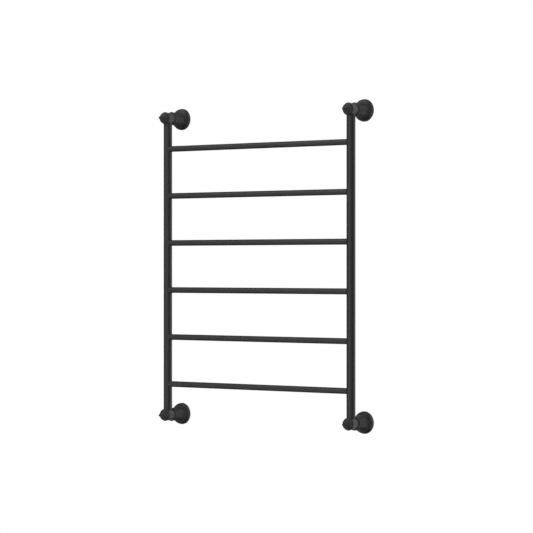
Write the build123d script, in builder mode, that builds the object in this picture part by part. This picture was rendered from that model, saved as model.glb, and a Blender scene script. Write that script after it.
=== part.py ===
from build123d import *
import os

# Wall-mounted towel warmer rack: six round bars between two upright rails, held off the
# wall by four turned brackets with bell-shaped covers and stepped, pointed finials.
#
# Row frame, in millimetres: +Z up, +X to the right as seen from the room, +Y into the wall.
# The origin is on the wall plane (Y = 0), midway between the four brackets.
#
# A bracket's turned pieces are drawn as (s, r): s runs along the bracket's axis from the
# rail's centreline towards the room, so the wall is at s = -STANDOFF, and r is the radius.

# ---- driving dimensions ---------------------------------------------------------------
OVERALL_WIDTH = 600.0          # across the outer sides of the two rails
RAIL_DIAMETER = 22.0
RAIL_WALL = 1.5
BAR_DIAMETER = 15.0
BAR_WALL = 1.2
BAR_COUNT = 6
BAR_PITCH = 122.0
END_GAP = 80.0                 # from a bracket's axis to the nearest bar's axis
STANDOFF = 59.0                # from the wall to the rails' centrelines
TIP = 36.4                     # from the rails' centrelines to the finials' tips

RAIL_SPACING = OVERALL_WIDTH - RAIL_DIAMETER
BRACKET_SPACING = (BAR_COUNT - 1) * BAR_PITCH + 2 * END_GAP
RAIL_RADIUS = RAIL_DIAMETER / 2
RAIL_BORE = RAIL_RADIUS - RAIL_WALL
BAR_RADIUS = BAR_DIAMETER / 2
BAR_BORE = BAR_RADIUS - BAR_WALL
LEFT, RIGHT = -RAIL_SPACING / 2, RAIL_SPACING / 2
TOP, BOTTOM = BRACKET_SPACING / 2, -BRACKET_SPACING / 2

THREAD_FIT = 0.05              # radial gap around every screwed piece

# hub: the turned body that each rail end plugs into
HUB_WAIST = 14.6
FRONT_BEAD_S, FRONT_BEAD_CREST, FRONT_BEAD_ROUND = 11.6, 15.8, 3.6
REAR_BEAD_S, REAR_BEAD_CREST, REAR_BEAD_ROUND = -14.8, 17.4, 3.2
HUB_FRONT_S = 14.8
HUB_REAR_S = -17.4
SOCKET_FLOOR = 7.0             # from the bracket's axis to the rail's end
WIREWAY = 6.5                  # radius of the passage from the wall to the rail
WIREWAY_FRONT_S = 7.0
RAIL_PASSAGE = 7.0             # radius of the opening from the wireway into the rail

# finial and its threaded stud
FINIAL_BASE_S = HUB_FRONT_S
FINIAL_BASE = 13.4
FIRST_TIER_S = 17.0            # where the base's side ends and its top starts to round over
TIER_COUNT = 3
TIER_PITCH, TIER_STEP = 5.0, 3.6       # from one tier to the next, along s and in radius
TIER_ROUND = 1.8
TIER_COVE, TIER_COVE_DROP = 1.8, 2.7
TIER_LAND = 0.8                # the straight side of the second and third tiers
TIER_SWELL, COVE_SWELL, NUB_COVE_SWELL = 0.5, -0.6, -0.4       # arc heights over their chords
NUB_RADIUS = 3.0
NUB_NECK = 2.0
STUD_RADIUS = 4.0
STUD_LENGTH = 12.0
STUD_HOLE = STUD_RADIUS + THREAD_FIT
STUD_CHAMFER = 0.6
STUD_HOLE_REAR_S = 8.7
STUD_HOLE_FRONT_S = FINIAL_BASE_S + 6.5

# stem: the sleeve between hub and wall plate
STEM_RADIUS = 12.0
STEM_SPIGOT = 10.0             # its front end, inside the hub
STEM_FRONT_S = -12.5
STEM_REAR_S = -53.0
STEM_SOCKET = 9.05             # slides over the wall plate's boss, with a running clearance
STEM_SOCKET_FRONT_S = -30.5
RING_S, RING_WIDTH, RING_DEPTH = -24.0, 2.4, 1.2
RING_GAP = 0.02
RING_SIDE_GAP = 0.1
RING_ROUND = 0.4

# bell cover, from its front edge to the wall
BELL_FRONT_S = -18.2
BELL_BORE = STEM_RADIUS + 0.1
BELL_NECK = 14.4
BELL_NECK_ROUND = 0.5
BELL_SHOULDER_S, BELL_SHOULDER = -38.6, 19.6
BELL_GROOVE_S, BELL_GROOVE = -43.6, 20.2
BELL_FOOT_S, BELL_FOOT = -45.2, 23.0   # where the foot's flare starts
BELL_RIM = 27.9
BELL_RIM_THICKNESS = 1.0
SHOULDER_SWELL, FOOT_SWELL = 0.6, 0.9  # how far the shoulder and the foot are rounded out
GROOVE_SWELL = 0.3             # and how far the groove is hollowed
BELL_SEAT_S = -26.5            # rear end of the bore that sits on the stem
BELL_INSIDE = ((-53.5, 24.0), (-44.0, 18.0), (-30.0, 15.0))    # the hollow, from the foot forwards
BELL_WALL_AT_RIM = 3.0
ACCESS_HOLE = 3.2

# wall plate
PLATE_RADIUS = 22.0
PLATE_THICKNESS = 4.0
BOSS_RADIUS = 9.0
BOSS_FRONT_S = -31.5
BOSS_FLAT = 8.2                # from the boss's axis to the flat that the lock screw meets
FIXING_OFFSET = 16.0           # from the plate's centre to each wall screw hole
FIXING_HOLE = 2.6
FIXING_COUNTERSINK = 4.8

# lock screw: a socket set screw through the stem, reached through the bell's access hole
LOCK_S = -37.0
LOCK_RADIUS = 2.5
LOCK_LENGTH = 6.0
LOCK_GAP = 0.1
LOCK_KEY = 2.5                 # across flats of its hexagon socket
LOCK_KEY_DEPTH = 2.5
LOCK_CHAMFER = 0.4

# heating parts inside the tubes
CABLE_RADIUS = 2.0
CABLE_BEND = 16.0
CABLE_FIT = 0.02
CABLE_HOLE = 6.0               # in the rails, behind each bar
SPLICE_RADIUS, SPLICE_LENGTH = 5.0, 22.0
SPLICE_BOTTOM = BOTTOM + 11.0
CUTOUT_RADIUS, CUTOUT_LENGTH = 4.2, 16.0
CUTOUT_GAP = 6.0
SEAL_RADIUS, SEAL_LENGTH = 3.2, 24.0
SEAL_FROM_RAIL = 40.0
SLEEVE_DEPTH = 8.0
SLEEVE_ROUND = 0.9
GROMMET_BORE = 3.3
GROMMET_LENGTH = 5.5

BRACKETS = {
    "top_left": (LEFT, TOP),
    "top_right": (RIGHT, TOP),
    "bottom_left": (LEFT, BOTTOM),
    "bottom_right": (RIGHT, BOTTOM),
}
BAR_HEIGHTS = [TOP - END_GAP - n * BAR_PITCH for n in range(BAR_COUNT)]

os.makedirs("parts", exist_ok=True)


def export(part, name):
    """Writes one sub-part under its node's name."""
    part.label = name
    export_step(part, f"parts/{name}.step")


def profile_plane(place):
    """The plane of a bracket's turned profile: local x is s, local y is r."""
    x, z = place
    return Plane(origin=(x, -STANDOFF, z), x_dir=(0, -1, 0), z_dir=(-1, 0, 0))


def bracket_axis(place):
    """The axis that a bracket's pieces are turned about."""
    x, z = place
    return Axis((x, -STANDOFF, z), (0, -1, 0))


def facing_room(place, s):
    """A plane across a bracket's axis at s, with its normal towards the room."""
    x, z = place
    return Plane(origin=(x, -STANDOFF - s, z), x_dir=(1, 0, 0), z_dir=(0, -1, 0))


def towards_rail(place):
    """+1 where the rail runs up from the bracket, -1 where it runs down."""
    return 1 if place[1] < 0 else -1


def bulge(start, end, height):
    """An arc from start to end that stands out from the chord, to the left of its direction."""
    a, b = Vector(*start), Vector(*end)
    chord = b - a
    outwards = Vector(-chord.Y, chord.X).normalized()
    return ThreePointArc(a, (a + b) / 2 + outwards * height, b)


# ---- rails and bars -------------------------------------------------------------------
def make_rail(x):
    """An upright tube, open at both ends, with a cable hole behind each bar."""
    inwards = 1 if x < 0 else -1
    half_length = TOP - SOCKET_FLOOR
    with BuildPart() as rail:
        with BuildSketch(Plane(origin=(x, -STANDOFF, -half_length))):
            Circle(RAIL_RADIUS)
            Circle(RAIL_BORE, mode=Mode.SUBTRACT)
        extrude(amount=2 * half_length)
        for height in BAR_HEIGHTS:
            with BuildSketch(Plane(origin=(x, -STANDOFF, height), z_dir=(inwards, 0, 0))):
                Circle(CABLE_HOLE)
            extrude(amount=RAIL_DIAMETER, mode=Mode.SUBTRACT)
    return rail.part


def make_bar(height):
    """A cross tube, its ends coped to sit on the rails."""
    with BuildPart() as bar:
        with BuildSketch(Plane(origin=(LEFT, -STANDOFF, height), z_dir=(1, 0, 0))):
            Circle(BAR_RADIUS)
            Circle(BAR_BORE, mode=Mode.SUBTRACT)
        extrude(amount=RAIL_SPACING)
        for x in (LEFT, RIGHT):
            with BuildSketch(Plane(origin=(x, -STANDOFF, height - BAR_DIAMETER))):
                Circle(RAIL_RADIUS)
            extrude(amount=2 * BAR_DIAMETER, mode=Mode.SUBTRACT)
    return bar.part


# ---- bracket pieces -------------------------------------------------------------------
def make_hub(place):
    """A turned body with two beads, a socket for the rail's end, and a wireway to it."""
    x, z = place
    along = towards_rail(place)
    front_round = FRONT_BEAD_CREST - FRONT_BEAD_ROUND
    rear_round = REAR_BEAD_CREST - REAR_BEAD_ROUND
    front_reach = (FRONT_BEAD_ROUND**2 - (HUB_WAIST - front_round) ** 2) ** 0.5
    rear_reach = (REAR_BEAD_ROUND**2 - (HUB_WAIST - rear_round) ** 2) ** 0.5
    front_end = HUB_FRONT_S - FRONT_BEAD_S
    rear_end = REAR_BEAD_S - HUB_REAR_S
    front_lip = front_round + (FRONT_BEAD_ROUND**2 - front_end**2) ** 0.5
    rear_lip = rear_round + (REAR_BEAD_ROUND**2 - rear_end**2) ** 0.5
    with BuildPart() as hub:
        with BuildSketch(profile_plane(place)):
            with BuildLine():
                Polyline((HUB_REAR_S, rear_lip), (HUB_REAR_S, 0), (HUB_FRONT_S, 0), (HUB_FRONT_S, front_lip))
                ThreePointArc(
                    (HUB_FRONT_S, front_lip),
                    (FRONT_BEAD_S, FRONT_BEAD_CREST),
                    (FRONT_BEAD_S - front_reach, HUB_WAIST),
                )
                Line((FRONT_BEAD_S - front_reach, HUB_WAIST), (REAR_BEAD_S + rear_reach, HUB_WAIST))
                ThreePointArc(
                    (REAR_BEAD_S + rear_reach, HUB_WAIST),
                    (REAR_BEAD_S, REAR_BEAD_CREST),
                    (HUB_REAR_S, rear_lip),
                )
            make_face()
        revolve(axis=bracket_axis(place))
        with BuildSketch(facing_room(place, HUB_REAR_S)):
            Circle(WIREWAY)
        extrude(amount=WIREWAY_FRONT_S - HUB_REAR_S, mode=Mode.SUBTRACT)
        with BuildSketch(facing_room(place, HUB_REAR_S)):
            Circle(STEM_SPIGOT + THREAD_FIT)
        extrude(amount=STEM_FRONT_S - HUB_REAR_S, mode=Mode.SUBTRACT)
        with BuildSketch(facing_room(place, STUD_HOLE_REAR_S)):
            Circle(STUD_HOLE)
        extrude(amount=HUB_FRONT_S - STUD_HOLE_REAR_S, mode=Mode.SUBTRACT)
        with BuildSketch(Plane(origin=(x, -STANDOFF, z), z_dir=(0, 0, along))):
            Circle(RAIL_PASSAGE)
        extrude(amount=SOCKET_FLOOR, mode=Mode.SUBTRACT)
        with BuildSketch(Plane(origin=(x, -STANDOFF, z + along * SOCKET_FLOOR), z_dir=(0, 0, along))):
            Circle(RAIL_RADIUS)
        extrude(amount=REAR_BEAD_CREST, mode=Mode.SUBTRACT)
    return hub.part


def make_finial(place):
    """A pointed cap of three rounded tiers with coves between, and a round nub."""
    nub_s = TIP - NUB_RADIUS
    neck_s = nub_s - (NUB_RADIUS**2 - NUB_NECK**2) ** 0.5
    with BuildPart() as finial:
        with BuildSketch(profile_plane(place)):
            with BuildLine():
                Polyline((FINIAL_BASE_S, 0), (FINIAL_BASE_S, FINIAL_BASE), (FIRST_TIER_S, FINIAL_BASE))
                for tier in range(TIER_COUNT):
                    edge_s = FIRST_TIER_S + tier * TIER_PITCH
                    edge = FINIAL_BASE - tier * TIER_STEP
                    cove = (edge_s + TIER_ROUND, edge - TIER_ROUND)
                    bulge((edge_s, edge), cove, TIER_SWELL)
                    if tier < TIER_COUNT - 1:
                        floor = (cove[0] + TIER_COVE, cove[1] - TIER_COVE_DROP)
                        next_s, next_edge = edge_s + TIER_PITCH, edge - TIER_STEP
                        bulge(cove, floor, COVE_SWELL)
                        Polyline(floor, (next_s - TIER_LAND, next_edge), (next_s, next_edge))
                bulge(cove, (neck_s, NUB_NECK), NUB_COVE_SWELL)
                ThreePointArc((neck_s, NUB_NECK), (nub_s + NUB_RADIUS * 0.6, NUB_RADIUS * 0.8), (TIP, 0))
                Line((TIP, 0), (FINIAL_BASE_S, 0))
            make_face()
        revolve(axis=bracket_axis(place))
        with BuildSketch(facing_room(place, FINIAL_BASE_S)):
            Circle(STUD_HOLE)
        extrude(amount=STUD_HOLE_FRONT_S - FINIAL_BASE_S, mode=Mode.SUBTRACT)
    return finial.part


def make_stud(place):
    """The threaded stud that joins a finial to its hub, with chamfered ends."""
    with BuildPart() as stud:
        with BuildSketch(facing_room(place, FINIAL_BASE_S - STUD_LENGTH / 2)):
            Circle(STUD_RADIUS)
        extrude(amount=STUD_LENGTH)
        chamfer(stud.edges().filter_by(GeomType.CIRCLE), length=STUD_CHAMFER)
    return stud.part


def make_stem(place):
    """A sleeve screwed into the hub in front and open behind, where it takes the boss."""
    x, z = place
    ring_floor = STEM_RADIUS - RING_DEPTH
    with BuildPart() as stem:
        with BuildSketch(profile_plane(place)):
            with BuildLine():
                Polyline(
                    (STEM_FRONT_S, WIREWAY),
                    (STEM_FRONT_S, STEM_SPIGOT),
                    (HUB_REAR_S, STEM_SPIGOT),
                    (HUB_REAR_S, STEM_RADIUS),
                    (RING_S + RING_WIDTH / 2, STEM_RADIUS),
                    (RING_S + RING_WIDTH / 2, ring_floor),
                    (RING_S - RING_WIDTH / 2, ring_floor),
                    (RING_S - RING_WIDTH / 2, STEM_RADIUS),
                    (STEM_REAR_S, STEM_RADIUS),
                    (STEM_REAR_S, STEM_SOCKET),
                    (STEM_SOCKET_FRONT_S, STEM_SOCKET),
                    (STEM_SOCKET_FRONT_S, WIREWAY),
                    close=True,
                )
            make_face()
        revolve(axis=bracket_axis(place))
        with BuildSketch(Plane(origin=(x, -STANDOFF - LOCK_S, z), z_dir=(0, 0, -1))):
            Circle(LOCK_RADIUS + THREAD_FIT)
        extrude(amount=STEM_RADIUS, mode=Mode.SUBTRACT)
    return stem.part


def make_neck_ring(place):
    """The rubber ring that seats the bell on the stem."""
    inner = STEM_RADIUS - RING_DEPTH + RING_GAP
    outer = BELL_BORE - RING_GAP
    width = RING_WIDTH - 2 * RING_SIDE_GAP
    with BuildPart() as ring:
        with BuildSketch(profile_plane(place)):
            with Locations((RING_S, (inner + outer) / 2)):
                RectangleRounded(width, outer - inner, RING_ROUND)
        revolve(axis=bracket_axis(place))
    return ring.part


def make_bell(place):
    """A hollow cover: a tapered neck, a rounded shoulder, a groove and a flared foot."""
    x, z = place
    wall_s = -STANDOFF
    front = (BELL_FRONT_S, BELL_NECK - BELL_NECK_ROUND)
    neck = (BELL_FRONT_S - BELL_NECK_ROUND, BELL_NECK)
    shoulder = (BELL_SHOULDER_S, BELL_SHOULDER)
    groove = (BELL_GROOVE_S, BELL_GROOVE)
    foot = (BELL_FOOT_S, BELL_FOOT)
    rim = (wall_s + BELL_RIM_THICKNESS, BELL_RIM)
    with BuildPart() as bell:
        with BuildSketch(profile_plane(place)):
            with BuildLine():
                Line((BELL_FRONT_S, BELL_BORE), front)
                bulge(front, neck, -BELL_NECK_ROUND / 5)
                Line(neck, shoulder)
                bulge(shoulder, groove, -SHOULDER_SWELL)
                bulge(groove, foot, GROOVE_SWELL)
                bulge(foot, rim, -FOOT_SWELL)
                Polyline(
                    rim,
                    (wall_s, BELL_RIM),
                    (wall_s, BELL_RIM - BELL_WALL_AT_RIM),
                    *BELL_INSIDE,
                    (BELL_SEAT_S, BELL_BORE),
                    (BELL_FRONT_S, BELL_BORE),
                )
            make_face()
        revolve(axis=bracket_axis(place))
        with BuildSketch(Plane(origin=(x, -STANDOFF - LOCK_S, z), z_dir=(0, 0, -1))):
            Circle(ACCESS_HOLE)
        extrude(amount=BELL_RIM, mode=Mode.SUBTRACT)
    return bell.part


def make_wall_plate(place):
    """A disc for two wall screws, with a hollow boss that the stem slides over."""
    x, z = place
    wall_s = -STANDOFF
    plate_front_s = wall_s + PLATE_THICKNESS
    with BuildPart() as plate:
        with BuildSketch(facing_room(place, wall_s)):
            Circle(PLATE_RADIUS)
        extrude(amount=PLATE_THICKNESS)
        with BuildSketch(facing_room(place, plate_front_s)):
            Circle(BOSS_RADIUS)
        extrude(amount=BOSS_FRONT_S - plate_front_s)
        with BuildSketch(facing_room(place, plate_front_s)):
            with Locations((0, -BOSS_FLAT - BOSS_RADIUS / 2)):
                Rectangle(2 * BOSS_RADIUS, BOSS_RADIUS)
        extrude(amount=BOSS_FRONT_S - plate_front_s, mode=Mode.SUBTRACT)
        with BuildSketch(facing_room(place, wall_s)):
            Circle(WIREWAY)
        extrude(amount=BOSS_FRONT_S - wall_s, mode=Mode.SUBTRACT)
        with Locations(facing_room(place, plate_front_s)):
            with Locations((0, FIXING_OFFSET), (0, -FIXING_OFFSET)):
                CounterSinkHole(radius=FIXING_HOLE, counter_sink_radius=FIXING_COUNTERSINK)
    return plate.part


def make_lock_screw(place):
    """A socket set screw that locks the stem to the boss."""
    x, z = place
    tip_z = z - BOSS_FLAT - LOCK_GAP
    with BuildPart() as screw:
        with BuildSketch(Plane(origin=(x, -STANDOFF - LOCK_S, tip_z), z_dir=(0, 0, -1))):
            Circle(LOCK_RADIUS)
        extrude(amount=LOCK_LENGTH)
        chamfer(screw.edges().filter_by(GeomType.CIRCLE), length=LOCK_CHAMFER)
        with BuildSketch(Plane(origin=(x, -STANDOFF - LOCK_S, tip_z - LOCK_LENGTH))):
            RegularPolygon(radius=LOCK_KEY / 2, side_count=6, major_radius=False)
        extrude(amount=LOCK_KEY_DEPTH, mode=Mode.SUBTRACT)
    return screw.part


# ---- heating parts --------------------------------------------------------------------
def cable_route():
    """Corner points of the heating cable: up the left rail, then back and forth in the bars."""
    points = [(LEFT, -STANDOFF, SPLICE_BOTTOM + SPLICE_LENGTH - SLEEVE_DEPTH)]
    side = LEFT
    for height in reversed(BAR_HEIGHTS):
        points.append((side, -STANDOFF, height))
        side = -side
        points.append((side, -STANDOFF, height))
    points[-1] = (LEFT + SEAL_FROM_RAIL + SEAL_LENGTH - SLEEVE_DEPTH, -STANDOFF, BAR_HEIGHTS[0])
    return points


def make_heating_cable():
    """The cable as straight runs joined by tangent arcs."""
    points = cable_route()
    with BuildPart() as cable:
        with BuildLine() as route:
            FilletPolyline(*points, radius=CABLE_BEND)
        with BuildSketch(Plane(origin=points[0])):
            Circle(CABLE_RADIUS)
        sweep(path=route.wires()[0])
    return cable.part


def make_splice():
    """The crimped sleeve between the supply lead and the heating cable."""
    with BuildPart() as splice:
        with BuildSketch(Plane(origin=(LEFT, -STANDOFF, SPLICE_BOTTOM))):
            Circle(SPLICE_RADIUS)
        extrude(amount=SPLICE_LENGTH)
        fillet(splice.edges().filter_by(GeomType.CIRCLE), radius=SLEEVE_ROUND)
        with BuildSketch(Plane(origin=(LEFT, -STANDOFF, SPLICE_BOTTOM + SPLICE_LENGTH - SLEEVE_DEPTH))):
            Circle(CABLE_RADIUS + CABLE_FIT)
        extrude(amount=SLEEVE_DEPTH, mode=Mode.SUBTRACT)
        with BuildSketch(Plane(origin=(LEFT, -STANDOFF, SPLICE_BOTTOM))):
            Circle(GROMMET_BORE)
        extrude(amount=SLEEVE_DEPTH, mode=Mode.SUBTRACT)
    return splice.part


def make_thermal_cutout():
    """The over-temperature cut-out, a sleeve around the start of the heating cable."""
    bottom = SPLICE_BOTTOM + SPLICE_LENGTH + CUTOUT_GAP
    with BuildPart() as cutout:
        with BuildSketch(Plane(origin=(LEFT, -STANDOFF, bottom))):
            Circle(CUTOUT_RADIUS)
        extrude(amount=CUTOUT_LENGTH)
        fillet(cutout.edges().filter_by(GeomType.CIRCLE), radius=SLEEVE_ROUND)
        with BuildSketch(Plane(origin=(LEFT, -STANDOFF, bottom))):
            Circle(CABLE_RADIUS + CABLE_FIT)
        extrude(amount=CUTOUT_LENGTH, mode=Mode.SUBTRACT)
    return cutout.part


def make_end_seal():
    """The moulded cap on the heating cable's far end, inside the top bar."""
    outer_x = LEFT + SEAL_FROM_RAIL
    with BuildPart() as seal:
        with BuildSketch(Plane(origin=(outer_x, -STANDOFF, BAR_HEIGHTS[0]), z_dir=(1, 0, 0))):
            Circle(SEAL_RADIUS)
        extrude(amount=SEAL_LENGTH)
        fillet(seal.edges().filter_by(GeomType.CIRCLE), radius=SLEEVE_ROUND)
        with BuildSketch(
            Plane(origin=(outer_x + SEAL_LENGTH - SLEEVE_DEPTH, -STANDOFF, BAR_HEIGHTS[0]), z_dir=(1, 0, 0))
        ):
            Circle(CABLE_RADIUS + CABLE_FIT)
        extrude(amount=SLEEVE_DEPTH, mode=Mode.SUBTRACT)
    return seal.part


def make_lead_grommet(place):
    """The rubber bush for the supply lead, in the wall plate's wireway."""
    with BuildPart() as grommet:
        with BuildSketch(facing_room(place, -STANDOFF)):
            Circle(WIREWAY - CABLE_FIT)
            Circle(GROMMET_BORE, mode=Mode.SUBTRACT)
        extrude(amount=GROMMET_LENGTH)
    return grommet.part


# ---- build and write every node -------------------------------------------------------
export(make_rail(LEFT), "left_rail")
export(make_rail(RIGHT), "right_rail")
for number, height in enumerate(BAR_HEIGHTS, start=1):
    export(make_bar(height), f"bar_{number}")

for corner, place in BRACKETS.items():
    export(make_hub(place), f"{corner}_hub")
    export(make_finial(place), f"{corner}_finial")
    export(make_stem(place), f"{corner}_stem")
    export(make_neck_ring(place), f"{corner}_neck_ring")
    export(make_bell(place), f"{corner}_bell_cover")
    export(make_wall_plate(place), f"{corner}_wall_plate")

export(Compound(children=[make_stud(place) for place in BRACKETS.values()]), "finial_studs")
export(Compound(children=[make_lock_screw(place) for place in BRACKETS.values()]), "lock_screws")
export(make_heating_cable(), "heating_cable")
export(make_splice(), "lead_splice")
export(make_thermal_cutout(), "thermal_cutout")
export(make_end_seal(), "cable_end_seal")
export(make_lead_grommet(BRACKETS["bottom_left"]), "lead_grommet")
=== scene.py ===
import bmesh
import bpy
import math
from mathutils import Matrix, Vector, noise as fractal


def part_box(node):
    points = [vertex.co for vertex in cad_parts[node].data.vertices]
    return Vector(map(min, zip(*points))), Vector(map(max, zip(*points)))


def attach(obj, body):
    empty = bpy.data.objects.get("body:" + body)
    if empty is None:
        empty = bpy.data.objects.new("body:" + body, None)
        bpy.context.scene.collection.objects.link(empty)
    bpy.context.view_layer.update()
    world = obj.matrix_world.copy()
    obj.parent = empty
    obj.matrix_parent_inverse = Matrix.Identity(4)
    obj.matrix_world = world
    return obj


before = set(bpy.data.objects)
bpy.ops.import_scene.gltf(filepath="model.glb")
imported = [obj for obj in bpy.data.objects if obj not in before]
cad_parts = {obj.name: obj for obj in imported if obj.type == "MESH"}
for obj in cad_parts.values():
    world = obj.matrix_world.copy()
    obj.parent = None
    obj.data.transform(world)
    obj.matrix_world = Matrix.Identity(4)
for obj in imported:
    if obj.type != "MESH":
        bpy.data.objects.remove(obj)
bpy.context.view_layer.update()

# Heated towel ladder in satin black powder coat. The CAD nodes keep their shapes; this script
# gives them their materials, adds small smooth fillets where the bars are welded to the rails and
# where the rails enter their hubs, and sets up the floor, the lights and the camera.
# Everything is in metres in the row frame: +Z up, +X right, the wall at Y = 0, the room at -Y.

MM = 0.001

BARS = [f"bar_{n}" for n in range(1, 7)]
RAILS = ["left_rail", "right_rail"]
CORNERS = ["top_left", "top_right", "bottom_left", "bottom_right"]


def centre(node):
    low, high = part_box(node)
    return (Vector(low) + Vector(high)) / 2


def extent(node):
    low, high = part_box(node)
    return Vector(high) - Vector(low)


def add_object(name, data):
    added = bpy.data.objects.new(name, data)
    bpy.context.scene.collection.objects.link(added)
    return added


def aim(added, place, direction):
    """Puts a light or the camera at a place, facing along a direction."""
    added.location = place
    added.rotation_mode = "QUATERNION"
    added.rotation_quaternion = direction.to_track_quat("-Z", "Y")


# ---- shader building -----------------------------------------------------------------------
def new_material(name):
    """An empty node material: its tree, its Principled shader and object coordinates."""
    material = bpy.data.materials.new(name)
    material.use_nodes = True
    tree = material.node_tree
    shader = tree.nodes["Principled BSDF"]
    coords = tree.nodes.new("ShaderNodeTexCoord").outputs["Object"]
    return material, tree, shader, coords


def noise(tree, coords, scale, detail, roughness=0.5):
    node = tree.nodes.new("ShaderNodeTexNoise")
    node.inputs["Scale"].default_value = scale
    node.inputs["Detail"].default_value = detail
    node.inputs["Roughness"].default_value = roughness
    tree.links.new(coords, node.inputs["Vector"])
    return node.outputs["Fac"]


def span(tree, value, low, high, start=0.3, end=0.7):
    """Maps a value from start..end onto low..high. A noise stays mostly between 0.3 and 0.7."""
    node = tree.nodes.new("ShaderNodeMapRange")
    node.inputs["From Min"].default_value = start
    node.inputs["From Max"].default_value = end
    node.inputs["To Min"].default_value = low
    node.inputs["To Max"].default_value = high
    tree.links.new(value, node.inputs["Value"])
    return node.outputs["Result"]


def blend_colours(tree, value, dark, light):
    node = tree.nodes.new("ShaderNodeMix")
    node.data_type = "RGBA"
    node.inputs["A"].default_value = (*dark, 1)
    node.inputs["B"].default_value = (*light, 1)
    tree.links.new(value, node.inputs["Factor"])
    return node.outputs["Result"]


def bump(tree, height, distance, strength=1.0, under=None):
    """A bumped normal, on top of the one in under where that is given."""
    node = tree.nodes.new("ShaderNodeBump")
    node.inputs["Distance"].default_value = distance
    node.inputs["Strength"].default_value = strength
    tree.links.new(height, node.inputs["Height"])
    if under is not None:
        tree.links.new(under, node.inputs["Normal"])
    return node.outputs["Normal"]


def stretched(tree, coords, x, y, z):
    """Coordinates scaled apart along the axes, for lines that run one way."""
    node = tree.nodes.new("ShaderNodeMapping")
    node.inputs["Scale"].default_value = (x, y, z)
    tree.links.new(coords, node.inputs["Vector"])
    return node.outputs["Vector"]


def grey(value):
    """A very slightly blue grey."""
    return (value, value, value * 1.02)


# ---- the kinds of material -----------------------------------------------------------------
def powder_coat(name, dark, light, rough, spread):
    """Baked satin powder: fine orange peel over a slow waviness, and an uneven sheen."""
    material, tree, shader, coords = new_material(name)
    mottle = span(tree, noise(tree, coords, scale=35, detail=3), low=0, high=1)
    tree.links.new(blend_colours(tree, mottle, dark, light), shader.inputs["Base Color"])
    sheen = noise(tree, coords, scale=120, detail=3, roughness=0.6)
    tree.links.new(span(tree, sheen, rough - spread, rough + spread), shader.inputs["Roughness"])
    waves = noise(tree, coords, scale=160, detail=1)
    grains = noise(tree, coords, scale=1100, detail=2, roughness=0.55)
    wavy = bump(tree, waves, distance=0.1 * MM)
    tree.links.new(bump(tree, grains, distance=0.12 * MM, under=wavy), shader.inputs["Normal"])
    shader.inputs["IOR"].default_value = 1.5
    return material


def metal(name, dark, light, rough, spread, lines):
    """Bare or plated metal: cloudy tone, fine tool lines across Y, uneven sheen."""
    material, tree, shader, coords = new_material(name)
    cloud = span(tree, noise(tree, coords, scale=90, detail=4, roughness=0.6), low=0, high=1)
    tree.links.new(blend_colours(tree, cloud, dark, light), shader.inputs["Base Color"])
    tool = noise(tree, stretched(tree, coords, x=40, y=lines, z=40), scale=1, detail=2)
    tree.links.new(span(tree, tool, rough - spread, rough + spread), shader.inputs["Roughness"])
    tree.links.new(bump(tree, tool, distance=0.01 * MM, strength=0.6), shader.inputs["Normal"])
    shader.inputs["Metallic"].default_value = 1.0
    return material


def zinc_plate(name):
    """Bright zinc over punched steel: small cells of plating tone, and an uneven sheen."""
    material, tree, shader, coords = new_material(name)
    cells = tree.nodes.new("ShaderNodeTexVoronoi")
    cells.inputs["Scale"].default_value = 260
    tree.links.new(coords, cells.inputs["Vector"])
    plating = blend_colours(tree, cells.outputs["Color"],
                            dark=(0.5, 0.51, 0.53), light=(0.62, 0.615, 0.59))
    tree.links.new(plating, shader.inputs["Base Color"])
    sheen = span(tree, noise(tree, coords, scale=220, detail=3), low=0.28, high=0.45)
    tree.links.new(sheen, shader.inputs["Roughness"])
    grains = noise(tree, coords, scale=900, detail=2)
    tree.links.new(bump(tree, grains, distance=0.01 * MM), shader.inputs["Normal"])
    shader.inputs["Metallic"].default_value = 1.0
    return material


def moulded(name, dark, light, rough, grain_scale, depth):
    """Rubber or plastic: two close tones and a fine moulded grain."""
    material, tree, shader, coords = new_material(name)
    tone = span(tree, noise(tree, coords, scale=80, detail=3), low=0, high=1)
    tree.links.new(blend_colours(tree, tone, dark, light), shader.inputs["Base Color"])
    sheen = noise(tree, coords, scale=300, detail=2)
    uneven = span(tree, sheen, low=rough - 0.05, high=rough + 0.08)
    tree.links.new(uneven, shader.inputs["Roughness"])
    grains = noise(tree, coords, grain_scale, detail=3)
    tree.links.new(bump(tree, grains, distance=depth), shader.inputs["Normal"])
    return material


def glass_sleeve(name):
    """Varnished glass-fibre sleeving: a plain weave of fine threads."""
    material, tree, shader, coords = new_material(name)
    weave = tree.nodes.new("ShaderNodeMath")
    weave.operation = "MAXIMUM"
    for strand, lean in enumerate((1, -1)):
        wave = tree.nodes.new("ShaderNodeTexWave")
        wave.inputs["Scale"].default_value = 320
        wave.inputs["Distortion"].default_value = 0.6
        tree.links.new(stretched(tree, coords, x=1, y=1, z=lean), wave.inputs["Vector"])
        tree.links.new(wave.outputs["Fac"], weave.inputs[strand])
    threads = weave.outputs["Value"]
    colour = blend_colours(tree, threads, dark=(0.6, 0.56, 0.46), light=(0.8, 0.78, 0.7))
    tree.links.new(colour, shader.inputs["Base Color"])
    tree.links.new(bump(tree, threads, distance=0.1 * MM), shader.inputs["Normal"])
    shader.inputs["Roughness"].default_value = 0.5
    return material


# ---- materials for the CAD nodes -----------------------------------------------------------
def paint(node, material):
    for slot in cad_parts[node].material_slots:
        slot.material = material


coat = powder_coat("satin_black", dark=grey(0.0176), light=grey(0.0228), rough=0.45, spread=0.06)
for node in RAILS + BARS:
    paint(node, coat)
for corner in CORNERS:
    for piece in ("hub", "finial", "bell_cover"):
        paint(f"{corner}_{piece}", coat)

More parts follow.
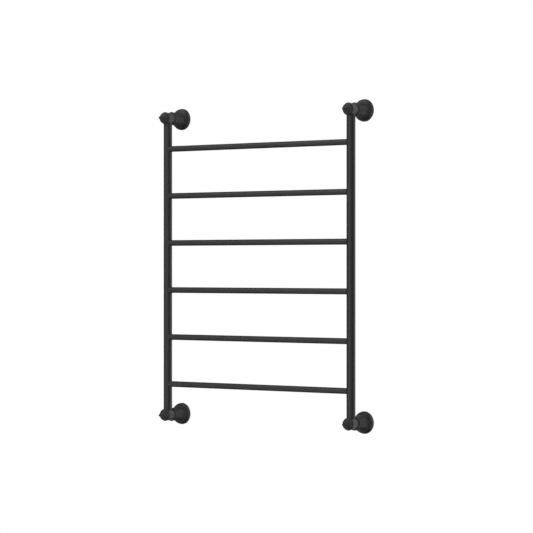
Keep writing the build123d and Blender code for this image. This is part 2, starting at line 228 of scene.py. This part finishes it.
black_oxide = metal("black_oxide", dark=(0.035, 0.035, 0.038), light=(0.07, 0.068, 0.066),
                    rough=0.42, spread=0.08, lines=1800)
zinc = zinc_plate("zinc_plating")
ring_rubber = moulded("ring_rubber", dark=(0.018, 0.018, 0.019), light=(0.034, 0.033, 0.032),
                      rough=0.6, grain_scale=900, depth=0.02 * MM)
for corner in CORNERS:
    paint(f"{corner}_stem", black_oxide)
    paint(f"{corner}_wall_plate", zinc)
    paint(f"{corner}_neck_ring", ring_rubber)

bright_steel = metal("bright_steel", dark=(0.48, 0.48, 0.49), light=(0.62, 0.61, 0.6),
                     rough=0.3, spread=0.08, lines=2400)
screw_steel = metal("screw_steel", dark=(0.08, 0.08, 0.085), light=(0.15, 0.148, 0.145),
                    rough=0.38, spread=0.06, lines=1500)
grommet_rubber = moulded("grommet_rubber", dark=(0.03, 0.03, 0.03), light=(0.055, 0.054, 0.052),
                         rough=0.62, grain_scale=700, depth=0.03 * MM)
red_silicone = moulded("silicone_jacket", dark=(0.45, 0.07, 0.05), light=(0.6, 0.11, 0.08),
                       rough=0.42, grain_scale=500, depth=0.02 * MM)
seal_silicone = moulded("silicone_seal", dark=(0.3, 0.06, 0.045), light=(0.4, 0.09, 0.065),
                        rough=0.55, grain_scale=600, depth=0.04 * MM)
shrink_sleeve = moulded("shrink_sleeve", dark=(0.035, 0.035, 0.04), light=(0.06, 0.06, 0.066),
                        rough=0.5, grain_scale=350, depth=0.06 * MM)
paint("finial_studs", bright_steel)
paint("lock_screws", screw_steel)
paint("lead_grommet", grommet_rubber)
paint("heating_cable", red_silicone)
paint("cable_end_seal", seal_silicone)
paint("lead_splice", shrink_sleeve)
paint("thermal_cutout", glass_sleeve("glass_fibre_sleeve"))


# ---- fillets -------------------------------------------------------------------------------
WELD_FILLET = 1.7 * MM         # leg of the fillet where a bar meets a rail
SOCKET_FILLET = 0.9 * MM       # leg of the smaller one where a rail enters its hub
FILLET_DEPTH = 0.5 * MM        # how far the fillet's root goes into the metal
RIPPLE = 0.07 * MM             # unevenness left by grinding, under the coat
RIPPLE_CIRCLE = 40 * MM        # radius of the circle round the tube on which its noise is read
RIPPLE_SCALE = 60              # how quickly that noise changes along the circle
RING_STEPS = 72
CURVE_STEPS = 5

RAIL_RADIUS = extent("left_rail").x / 2
BAR_RADIUS = extent("bar_1").z / 2

# The hub's profile, as in the CAD part. The waist and the crest are radii round the bracket's axis.
HUB_WAIST = 14.6 * MM
FRONT_BEAD_PLACE = 11.6 * MM   # of its crest, in front of the rail's axis
FRONT_BEAD_CREST = 15.8 * MM
FRONT_BEAD_ROUND = 3.6 * MM    # radius of the bead's own section


def fillet_section(turn, tube_radius, leg, surface, place):
    """The fillet's outline at one turn round the tube: its curve, then three points in the metal."""
    cos, sin = math.cos(turn), math.sin(turn)

    def on_surface(radius):
        return Vector((radius * cos, radius * sin, surface(radius * cos, radius * sin)))

    sample = place(cos * RIPPLE_CIRCLE, sin * RIPPLE_CIRCLE, tube_radius) * RIPPLE_SCALE
    reach = leg + fractal.noise(sample) * RIPPLE
    root = on_surface(tube_radius)
    tube_end = root + Vector((0, 0, reach))
    wall_end = on_surface(tube_radius + reach)
    section = []
    for n in range(CURVE_STEPS + 1):
        t = n / CURVE_STEPS
        section.append(tube_end * (1 - t) ** 2 + root * 2 * t * (1 - t) + wall_end * t**2)
    into_wall = Vector((0, 0, FILLET_DEPTH))
    section.append(wall_end - into_wall)
    section.append(on_surface(tube_radius - FILLET_DEPTH) - into_wall)
    section.append(tube_end - Vector((cos, sin, 0)) * FILLET_DEPTH)
    return [place(*point) for point in section]


def fillet_ring(name, tube_radius, leg, surface, place):
    """A closed ring of fillet around a tube, where it meets another surface.

    surface(u, v) is how far along the tube the other surface lies, at u, v across the tube,
    and place(u, v, w) turns those three into a point of the row frame.
    """
    turns = [2 * math.pi * step / RING_STEPS for step in range(RING_STEPS)]
    sections = [fillet_section(turn, tube_radius, leg, surface, place) for turn in turns]
    verts = [point for section in sections for point in section]
    size = len(sections[0])
    faces = []
    for step in range(RING_STEPS):
        here, there = step * size, (step + 1) % RING_STEPS * size
        for n in range(size):
            after = (n + 1) % size
            faces.append((here + n, here + after, there + after, there + n))
    mesh = bpy.data.meshes.new(name)
    mesh.from_pydata(verts, [], faces)
    outwards = bmesh.new()
    outwards.from_mesh(mesh)
    bmesh.ops.recalc_face_normals(outwards, faces=outwards.faces)
    outwards.to_mesh(mesh)
    outwards.free()
    for n, face in enumerate(mesh.polygons):
        face.use_smooth = n % size < CURVE_STEPS       # the curve; the buried sides stay flat
    mesh.materials.append(coat)
    piece = add_object(name, mesh)
    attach(piece, "rack")
    return piece


def rail_side(u, v):
    """Distance from a rail's axis to its side, at u across it. It is the same all along, at any v."""
    return math.sqrt(RAIL_RADIUS**2 - u**2)


def hub_side(u, v):
    """Distance from a bracket's axis to the hub's side, at u across it and v towards the room."""
    radius = HUB_WAIST
    bead_floor = FRONT_BEAD_CREST - FRONT_BEAD_ROUND
    inside = FRONT_BEAD_ROUND**2 - (v - FRONT_BEAD_PLACE) ** 2
    if inside > 0:
        radius = max(radius, bead_floor + math.sqrt(inside))
    return math.sqrt(radius**2 - u**2)


def weld_fillets():
    """One round each end of each bar, on the rail's side."""
    for bar in BARS:
        height = centre(bar).z
        for side, rail in ((1, "left_rail"), (-1, "right_rail")):
            axis = centre(rail)

            def at_rail(u, v, w):
                return Vector((axis.x + side * w, axis.y + u, height + v))

            fillet = fillet_ring(f"{bar}_{rail}_fillet", BAR_RADIUS, WELD_FILLET, rail_side, at_rail)


def socket_fillets():
    """One round each end of each rail, on the hub's side."""
    for corner in CORNERS:
        axis = centre(corner.split("_")[1] + "_rail")
        hub_z = centre(f"{corner}_hub").z
        towards_rail = -1 if hub_z > 0 else 1

        def at_hub(u, v, w):
            return Vector((axis.x + u, axis.y - v, hub_z + towards_rail * w))

        fillet = fillet_ring(f"{corner}_socket_fillet", RAIL_RADIUS, SOCKET_FILLET, hub_side, at_hub)


weld_fillets()
socket_fillets()


# ---- camera --------------------------------------------------------------------------------
VIEW_AZIMUTH = math.radians(36.8)
CAMERA_DISTANCE = 5.692        # along the view, to the plane through the rack's centre
CAMERA_SIDE = 0.0248           # how far the camera stands to the right of the rack's centre
FOCAL_MM = 152.4
SENSOR_MM = 36.0
CLIP_END = 100                 # far beyond the floor's edge

rack_centre = (centre("left_rail") + centre("right_rail")) / 2
right = Vector((math.cos(VIEW_AZIMUTH), math.sin(VIEW_AZIMUTH), 0))
forward = Vector((-math.sin(VIEW_AZIMUTH), math.cos(VIEW_AZIMUTH), 0))

camera = add_object("camera", bpy.data.cameras.new("camera"))
camera.data.lens = FOCAL_MM
camera.data.sensor_width = SENSOR_MM
camera.data.clip_end = CLIP_END
aim(camera, rack_centre + right * CAMERA_SIDE - forward * CAMERA_DISTANCE, forward)
bpy.context.scene.camera = camera


# ---- floor ---------------------------------------------------------------------------------
FLOOR_HEIGHT = -1.15           # the rack hangs on a wall, well above it
FLOOR_RADIUS = 3.6
FLOOR_SIDES = 96
FLOOR_GLOW = 0.5               # what the floor's middle shows of itself; it lights nothing else
FLOOR_EDGE_GLOW = 0.8          # the same at its edge
FLOOR_GLOW_START = 0.8         # how far from the middle it starts to rise


def studio_floor():
    """A plain pale round floor that gets lighter towards its edge."""
    bearings = [2 * math.pi * n / FLOOR_SIDES for n in range(FLOOR_SIDES)]
    verts = [(FLOOR_RADIUS * math.cos(b), FLOOR_RADIUS * math.sin(b), FLOOR_HEIGHT) for b in bearings]
    mesh = bpy.data.meshes.new("floor")
    mesh.from_pydata(verts, [], [tuple(range(FLOOR_SIDES))])
    material, tree, shader, coords = new_material("pale_floor")
    tone = span(tree, noise(tree, coords, scale=3, detail=4), low=0, high=1)
    colour = blend_colours(tree, tone, dark=(0.78, 0.78, 0.77), light=(0.82, 0.82, 0.81))
    tree.links.new(colour, shader.inputs["Base Color"])
    away = tree.nodes.new("ShaderNodeVectorMath")
    away.operation = "DISTANCE"
    away.inputs[1].default_value = (0, 0, FLOOR_HEIGHT)
    tree.links.new(coords, away.inputs[0])
    glow = span(tree, away.outputs["Value"], FLOOR_GLOW, FLOOR_EDGE_GLOW,
                start=FLOOR_GLOW_START, end=FLOOR_RADIUS)
    tree.links.new(glow, shader.inputs["Emission Strength"])
    shader.inputs["Emission Color"].default_value = (1, 1, 1, 1)
    shader.inputs["Roughness"].default_value = 0.8
    mesh.materials.append(material)
    floor = add_object("floor", mesh)
    floor.visible_diffuse = False
    floor.visible_glossy = False
    floor.visible_shadow = False


studio_floor()


# ---- lights --------------------------------------------------------------------------------
LIGHT_DISTANCE = 3.0           # from the rack's centre
TALL = {"elevation": 0, "width": 1.8, "height": 6.0}       # an upright softbox, level with the rack
WORLD_FILL = 0.07              # the faint even light that comes from all round


def softbox(name, azimuth, elevation, width, height, power):
    """An area light aimed at the rack, placed by its bearing from the rack's centre."""
    a, e = math.radians(azimuth), math.radians(elevation)
    outwards = Vector((math.sin(a) * math.cos(e), -math.cos(a) * math.cos(e), math.sin(e)))
    light = add_object(name, bpy.data.lights.new(name, "AREA"))
    light.data.shape = "RECTANGLE"
    light.data.size, light.data.size_y = width, height
    light.data.energy = power
    aim(light, rack_centre + outwards * LIGHT_DISTANCE, -outwards)


def studio_world():
    """Plain white for the camera, and the faint fill for everything else."""
    world = bpy.data.worlds.new("studio")
    world.use_nodes = True
    bpy.context.scene.world = world
    tree = world.node_tree
    fill = tree.nodes["Background"]
    backdrop = tree.nodes.new("ShaderNodeBackground")
    for background, strength in ((fill, WORLD_FILL), (backdrop, 1.0)):
        background.inputs["Color"].default_value = (1, 1, 1, 1)
        background.inputs["Strength"].default_value = strength
    path = tree.nodes.new("ShaderNodeLightPath")
    choose = tree.nodes.new("ShaderNodeMixShader")
    tree.links.new(path.outputs["Is Camera Ray"], choose.inputs["Fac"])
    tree.links.new(fill.outputs[0], choose.inputs[1])
    tree.links.new(backdrop.outputs[0], choose.inputs[2])
    tree.links.new(choose.outputs[0], tree.nodes["World Output"].inputs["Surface"])


softbox("key", azimuth=0, power=34, **TALL)
softbox("key_left", azimuth=-35, power=27, **TALL)
softbox("key_right", azimuth=35, power=22, **TALL)
softbox("side", azimuth=105, power=18, **TALL)
softbox("rim", azimuth=140, power=47, **TALL)
softbox("back", azimuth=175, power=34, **TALL)
softbox("back_left", azimuth=-150, power=12, **TALL)
softbox("overhead", azimuth=-35, elevation=50, width=2.0, height=2.0, power=22)
softbox("top", azimuth=0, elevation=88, width=2.4, height=2.4, power=22)
softbox("low", azimuth=-35, elevation=-50, width=2.0, height=2.0, power=7)
studio_world()

bpy.context.scene.view_settings.view_transform = "Standard"
